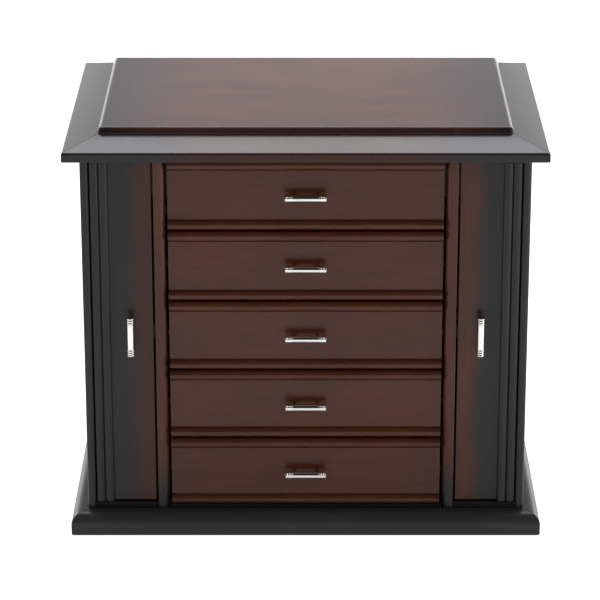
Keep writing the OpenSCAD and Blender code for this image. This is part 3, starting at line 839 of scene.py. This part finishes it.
def skinned(made: bmesh.types.BMesh, stations: Sequence[Sequence[Sequence[float]]]
            ) -> list[list[bmesh.types.BMVert]]:
    """Adds rings of points and the faces that join each ring to the next.

    Args:
        made: what they are added to.
        stations: each ring's points, as many in each ring.

    Returns:
        Each ring's vertices.
    """
    rings = [[made.verts.new(point) for point in station] for station in stations]
    for one, two in zip(rings, rings[1:]):
        for k in range(len(one)):
            after = (k + 1) % len(one)
            made.faces.new((one[k], one[after], two[after], two[k]))
    return rings


def unit_circle(count: int) -> list[tuple[float, float]]:
    """Returns evenly spaced points on a circle of radius 1."""
    return [(math.cos(math.tau * k / count), math.sin(math.tau * k / count)) for k in range(count)]


def roll(radius: float, length: float, around: int = 40, along: int = 60) -> Mesh:
    """Makes a closed roll along X with rounded ends, its middle at the origin.

    Args:
        radius: its radius.
        length: its length.
        around: how many faces go round it.
        along: how many faces go along it between its rounded ends.

    Returns:
        The roll.
    """
    made = bmesh.new()
    end = radius * ROUNDING
    cap = [(-length / 2, (radius - end) * share) for share in (0.34, 0.67)]
    for k in range(CAP_STEPS, -1, -1):
        turn = math.pi / 2 * k / CAP_STEPS
        cap.append((-length / 2 + end * (1 - math.sin(turn)), radius - end + end * math.cos(turn)))
    body = [(-length / 2 + end + (length - 2 * end) * k / along, radius) for k in range(1, along)]
    outline = cap + body + [(-x, r) for x, r in reversed(cap)]
    rings = skinned(made, [[(x, r * y, r * z) for y, z in unit_circle(around)] for x, r in outline])
    for ring, x in ((rings[0], -length / 2), (rings[-1], length / 2)):
        middle = made.verts.new((x, 0, 0))
        for k in range(around):
            made.faces.new((middle, ring[k], ring[(k + 1) % around]))
    return closed(made, "roll")


def closed(made: bmesh.types.BMesh, name: str) -> Mesh:
    """Ends a closed shape, smooth and with its faces outwards.

    Args:
        made: the shape, which is freed.
        name: the mesh's name.

    Returns:
        The mesh.
    """
    bmesh.ops.recalc_face_normals(made, faces=made.faces)
    for face in made.faces:
        face.smooth = True
    mesh = bpy.data.meshes.new(name)
    made.to_mesh(mesh)
    made.free()
    return mesh


def upholster(piece: bpy.types.Object, material: Finish, body: str, *nodes: str) -> None:
    """Finishes a stuffed piece with one subdivision, its cloth and its body.

    Args:
        piece: the piece.
        material: its cloth.
        body: the body that it rides on.
        nodes: the frame's own solids that it stands for.
    """
    rounder = piece.modifiers.new("rounder", "SUBSURF")
    rounder.levels = rounder.render_levels = 1
    piece.data.materials.clear()
    piece.data.materials.append(material)
    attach(piece, body)
    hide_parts(*nodes)
    log.info("upholstered %s", piece.name)


# ---- dressing the frame's own parts ----------------------------------------------------------


SMOOTH_TURN = math.radians(32.0)  # the sharpest turn that is still a curve
FLAT_TURN = math.radians(0.5)
WOOD_EDGE = 0.4 * MM
MEMBER_EDGE = 0.3 * MM
METAL_EDGE = 0.1 * MM


def dress(material: Finish, *nodes: str, edge: float = WOOD_EDGE) -> None:
    """Gives some of the frame's own parts their finish, softly broken edges and smooth curves.

    Args:
        material: the finish.
        nodes: the parts' names.
        edge: how wide their broken edges are, in metres, or 0 for none.
    """
    for node in nodes:
        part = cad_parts[node]
        for slot in part.material_slots:
            slot.material = material
        part.modifiers.new("weld", "WELD").merge_threshold = 1e-6
        if edge:
            flat = part.modifiers.new("flat faces", "DECIMATE")
            flat.decimate_type = "DISSOLVE"
            flat.angle_limit = FLAT_TURN
            broken = part.modifiers.new("broken edges", "BEVEL")
            broken.width = edge
            broken.segments = 3
            broken.limit_method = "ANGLE"
            broken.angle_limit = SMOOTH_TURN
        shading = part.modifiers.new("shading", "NODES")
        shading.node_group = SMOOTH_BY_ANGLE.tree()
        set_input(shading, "Angle", SMOOTH_TURN)
        part.modifiers.new("flat normals", "WEIGHTED_NORMAL").keep_sharp = True
        log.info("dressed %s in %s", node, material.name)


@dataclass(frozen=True)
class ScrewHead:
    """A countersunk screw head with a cross cut in it, facing +Z from the origin."""

    radius: float
    proud: float = 0.12 * MM
    sunk: float = 0.5 * MM
    cross: float = 0.42 * MM
    sides: int = 24

    def mesh(self) -> Mesh:
        """Makes the head.

        Returns:
            The head.
        """
        made = bmesh.new()
        outline = [(self.radius * 0.7, -self.sunk), (self.radius, 0.0),
                   (self.radius * 0.86, self.proud * 0.7), (self.radius * 0.5, self.proud)]
        rings = skinned(made, [[(r * x, r * y, z) for x, y in unit_circle(self.sides)]
                               for r, z in outline])
        made.faces.new(rings[0])
        made.faces.new(rings[-1])
        head = placed(closed(made, "screw head"), "screw head")
        cutters = []
        for turn in (0.0, math.pi / 2):
            cutter = bmesh.new()
            size = Matrix.Diagonal((self.radius * 1.15, self.cross, self.sunk, 1.0))
            bmesh.ops.create_cube(cutter, matrix=Matrix.Rotation(turn, 4, "Z") @ size)
            cutters.append(placed(closed(cutter, "cross"), "cross"))
            cut = head.modifiers.new("cross", "BOOLEAN")
            cut.operation = "DIFFERENCE"
            cut.object = cutters[-1]
        mesh = plain_mesh(head, "screw head")
        for cutter in cutters:
            bpy.data.objects.remove(cutter)
        mesh.set_sharp_from_angle(angle=math.radians(30.0))
        return mesh


def screw_row(name: str, head: ScrewHead, material: Finish, start: Vector, end: Vector, count: int,
              facing: Matrix) -> Mesh:
    """Makes a row of evenly spaced screw heads.

    Args:
        name: the row's name.
        head: the heads' form.
        material: the screws' finish.
        start: the first head's place.
        end: the last head's place.
        count: how many heads there are.
        facing: turns the heads from +Z to the way they face.

    Returns:
        The row.
    """
    source = moved(head.mesh(), "head", facing)
    mesh = grown(name, STRAIGHT_ROW, material, Piece=source, Count=count, Start=start,
                 Step=(end - start) / (count - 1))
    bpy.data.objects.remove(source)
    return mesh


HINGE_SCREW = ScrewHead(1.9 * MM)
HINGE_SCREW_COUNT = 3
HINGE_SCREW_SETS = (5.0 * MM, 27.0 * MM)  # of the first and last screw, from the leaf's outer end
HINGE_SCREW_SET_Y = 5.0 * MM


def hinge_screws(finishes: Finishes, body: str, height: float, facing: Matrix) -> None:
    """Sets the screws in each hinge leaf of the case or the lid.

    Args:
        finishes: the chest's finishes.
        body: "case" or "lid", whose leaves they are.
        height: the height of the leaves' open face.
        facing: turns the heads from +Z to the way they face.
    """
    low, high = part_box(f"{body}_hinge_leaves")
    for side in Side:
        start, end = (Vector((side.value * (high.x - inset), low.y + HINGE_SCREW_SET_Y, height))
                      for inset in HINGE_SCREW_SETS)
        mesh = screw_row(f"{side.name.lower()}_{body}_hinge_screws", HINGE_SCREW, finishes.brass,
                         start, end, HINGE_SCREW_COUNT, facing)
        row = placed(mesh, mesh.name)
        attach(row, body)
        log.info("set %s", row.name)


@dataclass
class RingRolls:
    """The stuffed velvet rolls that rings stand between."""

    finishes: Finishes
    count: int = 7
    pitch: float = 14.0 * MM
    radius: float = 6.1 * MM
    swell: float = 0.5 * MM
    pressed: float = 0.15 * MM

    def build(self) -> None:
        """Stuffs one roll and lays the row."""
        low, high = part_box("ring_rolls")
        velvet = self.finishes.velvet
        single = placed(roll(self.radius, high.x - low.x - 2 * self.swell), "ring roll")
        reach = (high.x - low.x) / 2 - 3 * self.swell
        Stuffing(self.swell).fill(single, [v.index for v in single.data.vertices if abs(v.co.x) > reach])
        floor = -self.radius + self.pressed
        for vertex in single.data.vertices:
            vertex.co.z = max(vertex.co.z, floor)
        middle = Vector(((low.x + high.x) / 2, (low.y + high.y) / 2, low.z - floor))
        start = middle - Vector((0, self.pitch * (self.count - 1) / 2, 0))
        mesh = grown("ring rolls", STRAIGHT_ROW, velvet, Piece=single, Count=self.count, Start=start,
                     Step=Vector((0, self.pitch, 0)))
        bpy.data.objects.remove(single)
        upholster(placed(mesh, "ring_rolls_stuffed"), velvet, "case", "ring_rolls")


@dataclass
class TrayLining:
    """The velvet on the tray's floor, padded in each bay and held down under the dividers."""

    finishes: Finishes
    step: float = 3.0 * MM
    swell: float = 0.9 * MM
    divider: float = 4.0 * MM
    bay: float = 136.0 * MM
    bay_depth: float = 100.0 * MM

    def held_down(self, place: Vector, low: Vector, high: Vector) -> bool:
        """Tells whether the cloth is held down at a point.

        Args:
            place: the point.
            low: the lining's lowest corner.
            high: its highest corner.

        Returns:
            Whether the point lies below the top, under a divider or in the bay of the ring rolls.
        """
        if place.z < high.z - HAIR:
            return True
        margin = self.step
        half = self.bay / 2
        in_middle = abs(place.x) < half + self.divider + margin
        middle = (low.y + high.y - self.divider) / 2
        on_side = half - margin < abs(place.x) < half + self.divider + margin
        on_cross = not in_middle and middle - margin < place.y < middle + self.divider + margin
        in_ring_bay = abs(place.x) < half and place.y < low.y + self.bay_depth + self.divider + margin
        return on_side or on_cross or in_ring_bay

    def build(self) -> None:
        """Pads the lining."""
        low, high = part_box("tray_lining")
        mesh = slab(low, high, self.step, self.step)
        piece = placed(mesh, "tray_lining_padded")
        held = [v.index for v in mesh.vertices if self.held_down(v.co, low, high)]
        Stuffing(self.swell).fill(piece, held)
        upholster(piece, self.finishes.velvet, "case", "tray_lining")


@dataclass
class Carcass:
    """The plinth, case and everything fixed in it."""

    finishes: Finishes
    stile_edge: float = 0.2 * MM
    divider_edge: float = 1.6 * MM

    def build(self) -> None:
        """Dresses the fixed parts."""
        made = self.finishes
        # the plinth's front wears the black lacquer with painted light
        dress(made.plinth, "plinth_front")
        dress(made.black, "plinth_back", "back_panel")
        # painted shadow: near-black, hardly glossy rails and door heads
        dress(made.shadow, "bottom_rails", "door_heads")
        dress(made.black_depth, "plinth_sides", "side_panels")
        dress(made.upright, "front_stiles", edge=self.stile_edge)
        dress(made.inside, "tray_front", "bottom_board", "tray_floor", "back_rail", "hook_rails")
        dress(made.inside_depth, "partitions", "drawer_runners")
        dress(made.hardboard, "base_panel")
        dress(made.felt, "felt_base")
        dress(made.velvet, "tray_dividers", edge=self.divider_edge)
        TrayLining(made).build()
        RingRolls(made).build()
        dress(made.brass, "necklace_hooks", "case_hinge_leaves", edge=METAL_EDGE)
        dress(made.blued, "pivot_bushes", edge=METAL_EDGE)
        dress(made.steel, "hinge_pins", edge=METAL_EDGE)
        hinge_screws(made, "case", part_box("back_panel")[1].z, Matrix.Identity(4))
        dress(made.magnet, "door_magnets")


@dataclass
class Lid:
    """The moulded frame, the raised panel and the mirror under it."""

    finishes: Finishes

    def build(self) -> None:
        """Dresses the lid's parts."""
        made = self.finishes
        dress(made.fascia, "lid_front_member", edge=MEMBER_EDGE)
        dress(made.black, "lid_back_member", edge=MEMBER_EDGE)
        dress(made.black_depth, "lid_side_members", edge=MEMBER_EDGE)
        dress(made.lid_panel, "lid_panel", edge=0.0)
        dress(made.black, "mirror_strips")
        dress(made.mirror, "mirror")
        dress(made.brass, "lid_hinge_leaves", edge=METAL_EDGE)
        hinge_screws(made, "lid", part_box("lid_back_member")[0].z, Matrix.Rotation(math.pi, 4, "X"))


@dataclass(frozen=True)
class Pull:
    """A nickel bar pull with three rings at each end, on two screwed posts."""

    finishes: Finishes
    rings: float = 3.0
    bar_radius: float = 2.9 * MM
    ring_radius: float = 3.3 * MM
    ring_length: float = 2.1 * MM
    post_pitch: float = 19.2 * MM
    post_radius: float = 1.5 * MM
    screw: ScrewHead = ScrewHead(2.4 * MM, proud=0.0, sunk=1.6 * MM, cross=0.7 * MM)

    def build(self, node: str, body: str, back: float, upright: bool) -> None:
        """Makes the pull in place of the frame's plain one.

        Args:
            node: the frame's pull.
            body: the body that it rides on.
            back: the depth of the wood from the face the pull stands on.
            upright: whether the bar stands upright, as on a door.
        """
        low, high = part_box(node)
        middle = (low + high) / 2
        length = high.z - low.z if upright else high.x - low.x
        out = low.y + self.ring_radius
        face = high.y - back
        turn = Matrix.Rotation(-math.pi / 2, 4, "Y") if upright else Matrix.Identity(4)
        matrix = Matrix.Translation((middle.x, face, middle.z)) @ turn
        mesh = grown(f"{node} bar", RINGED_PULL, self.finishes.nickel, Length=length,
                     Bar_Radius=self.bar_radius, Ring_Radius=self.ring_radius,
                     Ring_Length=self.ring_length, Rings=self.rings, Post_Pitch=self.post_pitch,
                     Post_Radius=self.post_radius, Reach=face - out)
        bar = moved(mesh, f"{node}_ringed", matrix)
        start, end = (Vector((x, back, 0)) for x in (-self.post_pitch / 2, self.post_pitch / 2))
        screws = screw_row(f"{node} screws", self.screw, self.finishes.steel, start, end, 2,
                           Matrix.Rotation(-math.pi / 2, 4, "X"))
        backs = moved(screws, f"{node}_screws", matrix)
        for piece, finish in ((bar, "nickel"), (backs, "steel")):
            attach(piece, body)
            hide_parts(node)
        log.info("made %s", node)


@dataclass
class Door:
    """A reeded side door with its pull, pins and strike."""

    finishes: Finishes
    side: Side
    thickness: float = 7.0 * MM
    edge: float = 0.35 * MM

    def build(self) -> None:
        """Dresses the door's parts."""
        made = self.finishes
        name = f"{self.side.name.lower()}_door"
        dress(made.doors[self.side], name, edge=self.edge)
        Pull(made).build(f"{name}_pull", name, self.thickness, True)
        dress(made.blued, f"{name}_pins", edge=METAL_EDGE)
        dress(made.steel, f"{name}_strike", edge=METAL_EDGE)


@dataclass
class Drawer:
    """A drawer with its beaded front, box, pad and pull."""

    finishes: Finishes
    number: int
    pad: Mesh
    thickness: float = 12.0 * MM
    edge: float = 0.9 * MM

    def build(self) -> None:
        """Dresses the drawer's parts."""
        made = self.finishes
        name = f"drawer_{self.number}"
        dress(made.drawer_front, f"{name}_front", edge=self.edge)
        dress(made.inside_depth, f"{name}_box")
        low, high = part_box(f"{name}_pad")
        seat = Matrix.Translation(((low.x + high.x) / 2, (low.y + high.y) / 2, low.z))
        upholster(moved(self.pad, f"{name}_pad_stuffed", seat), made.velvet, name, f"{name}_pad")
        Pull(made).build(f"{name}_pull", name, self.thickness, False)


def drawer_pad(step: float = 4.0 * MM, swell: float = 0.8 * MM) -> Mesh:
    """Makes the stuffed pad that every drawer has.

    Args:
        step: the size of its faces.
        swell: how far its cloth may swell.

    Returns:
        The pad, its underside's middle at the origin.
    """
    low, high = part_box("drawer_5_pad")
    half = (high - low) / 2 - Vector((swell, swell, 0))
    mesh = slab(Vector((-half.x, -half.y, 0)), Vector((half.x, half.y, 2 * half.z)), step, 4 * step)
    piece = placed(mesh, "drawer pad")
    Stuffing(swell).fill(piece, [vertex.index for vertex in mesh.vertices if vertex.co.z < HAIR])
    bpy.data.objects.remove(piece)
    return mesh


# ---- studio --------------------------------------------------------------------------------


@dataclass(frozen=True)
class Softbox:
    """A lamp: where it is, what it points at, its size and its radiance."""

    name: str
    place: Triple
    aim: Triple
    size: tuple[float, float]
    radiance: float
    colour: Colour = (1.0, 1.0, 1.0)

    def build(self) -> None:
        """Makes the lamp, turned to its aim."""
        data = bpy.data.lights.new(self.name, "AREA")
        data.shape = "RECTANGLE"
        data.size, data.size_y = self.size
        data.color = self.colour
        data.energy = self.radiance * math.pi * self.size[0] * self.size[1]
        lamp = placed(data, self.name)
        lamp.location = self.place
        towards = Vector(self.aim) - Vector(self.place)
        lamp.rotation_euler = towards.to_track_quat("-Z", "Y").to_euler()
        lamp.visible_camera = False


SOFTBOXES = (
    Softbox("overhead softbox", (0.0, 1.08, 2.15), (0.0, 0.0, 0.35), (3.0, 1.2), 5.6,
            (0.97, 0.985, 1.03)),
    Softbox("left softbox", (-2.0, -0.9, 1.1), (0.0, 0.0, 0.2), (0.8, 1.4), 1.0),
    Softbox("right softbox", (2.0, -0.9, 1.1), (0.0, 0.0, 0.2), (0.8, 1.4), 2.4),
)


@dataclass
class Studio:
    """The white floor, the backdrop, the lamps and the camera.

    The floor glows by itself, more so in gloss behind the chest and to its right, and it is white to the
    camera, as the sky is. In gloss the sky is bright near the floor behind the chest, plain above that,
    and nearly dark in front of it. The fill is the sky's light on everything that is not gloss.
    """

    floor_size: float = 12.0
    floor_glow: float = 0.54
    back_glow: float = 1.5
    right_glow: float = 0.7
    camera_glow: float = 0.34
    low_gloss: float = 2.2
    sky_gloss: float = 0.54
    front_gloss: float = 0.05
    fill: float = 0.3
    camera_distance: float = 2.2706
    camera_height: float = 1.0410
    camera_pitch: float = 20.085
    camera_lens: float = 173.04
    camera_shift: float = -0.0095

    def camera(self) -> None:
        """Makes the camera, at the height and distance of a table-top studio."""
        data = bpy.data.cameras.new("camera")
        data.lens = self.camera_lens
        data.sensor_width = 36.0
        data.shift_x = self.camera_shift
        data.clip_end = 30.0
        made = placed(data, "camera")
        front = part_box("side_panels")[0].y
        made.location = (0.0, front - self.camera_distance, self.camera_height)
        made.rotation_euler = (math.radians(90.0 - self.camera_pitch), 0.0, 0.0)
        bpy.context.scene.camera = made

    def floor(self) -> None:
        """Makes the white table, which keeps the chest's shadow."""
        mesh = bpy.data.meshes.new("floor")
        half = self.floor_size / 2
        mesh.from_pydata([(-half, -half, 0), (half, -half, 0), (half, half, 0), (-half, half, 0)], [],
                         [(0, 1, 2, 3)])
        made = placed(mesh, "floor")
        white = bpy.data.materials.new("white table")
        graph = emptied(white)
        path = graph.node("ShaderNodeLightPath").outputs
        place = graph.parted(graph.node("ShaderNodeTexCoord").outputs["Object"])
        back = graph.between(place["Y"], 0.1, 0.9, self.floor_glow, self.back_glow)
        right = graph.between(place["X"], 0.15, 0.9, 0.0, self.right_glow)
        added = graph.math("ADD", graph.math("SUBTRACT", back, self.floor_glow), right)
        glow = graph.math("MULTIPLY_ADD", path["Is Glossy Ray"], added, self.floor_glow)
        seen = graph.math("MULTIPLY_ADD", path["Is Camera Ray"], self.camera_glow, glow)
        paint = graph.node("ShaderNodeBsdfDiffuse", {"Color": (0.8, 0.8, 0.8, 1.0)})
        light = graph.node("ShaderNodeEmission", {"Color": (1, 1, 1, 1), "Strength": seen})
        both = graph.node("ShaderNodeAddShader", {0: paint.outputs[0], 1: light.outputs[0]})
        graph.node("ShaderNodeOutputMaterial", {"Surface": both.outputs[0]})
        mesh.materials.append(white)

    def backdrop(self) -> None:
        """Makes the world: white to look at, bright behind the chest and dim in front of it in gloss."""
        world = bpy.data.worlds.new("studio")
        bpy.context.scene.world = world
        graph = emptied(world)
        path = graph.node("ShaderNodeLightPath").outputs
        way = graph.parted(graph.node("ShaderNodeTexCoord").outputs["Generated"])
        behind = graph.between(way["Y"], -0.25, 0.35, self.front_gloss, 1.0)
        level = graph.between(way["Z"], 0.08, 0.27, self.low_gloss, self.sky_gloss)
        seen = graph.math("MAXIMUM", path["Is Camera Ray"], path["Is Transmission Ray"])
        glossy = graph.math("MULTIPLY", path["Is Glossy Ray"], graph.math("MULTIPLY", behind, level))
        diffuse = graph.math("MULTIPLY", path["Is Diffuse Ray"], self.fill)
        strength = graph.math("ADD", seen, graph.math("ADD", glossy, diffuse))
        sky = graph.node("ShaderNodeBackground", {"Color": (1, 1, 1, 1), "Strength": strength})
        graph.node("ShaderNodeOutputWorld", {"Surface": sky.outputs[0]})

    def build(self) -> None:
        """Makes the whole studio."""
        self.camera()
        self.floor()
        self.backdrop()
        for softbox in SOFTBOXES:
            softbox.build()
        bpy.context.scene.view_settings.view_transform = "Standard"


def main() -> None:
    """Builds the chest's looks and its studio."""
    logging.basicConfig(level=logging.INFO, format="%(message)s")
    finishes = Finishes()
    parts = [Carcass(finishes), Lid(finishes)]
    parts += [Door(finishes, side) for side in Side]
    pad = drawer_pad()
    parts += [Drawer(finishes, number, pad) for number in range(1, 6)]
    for part in parts:
        part.build()
    Studio().build()


if __name__ == "__main__":
    main()
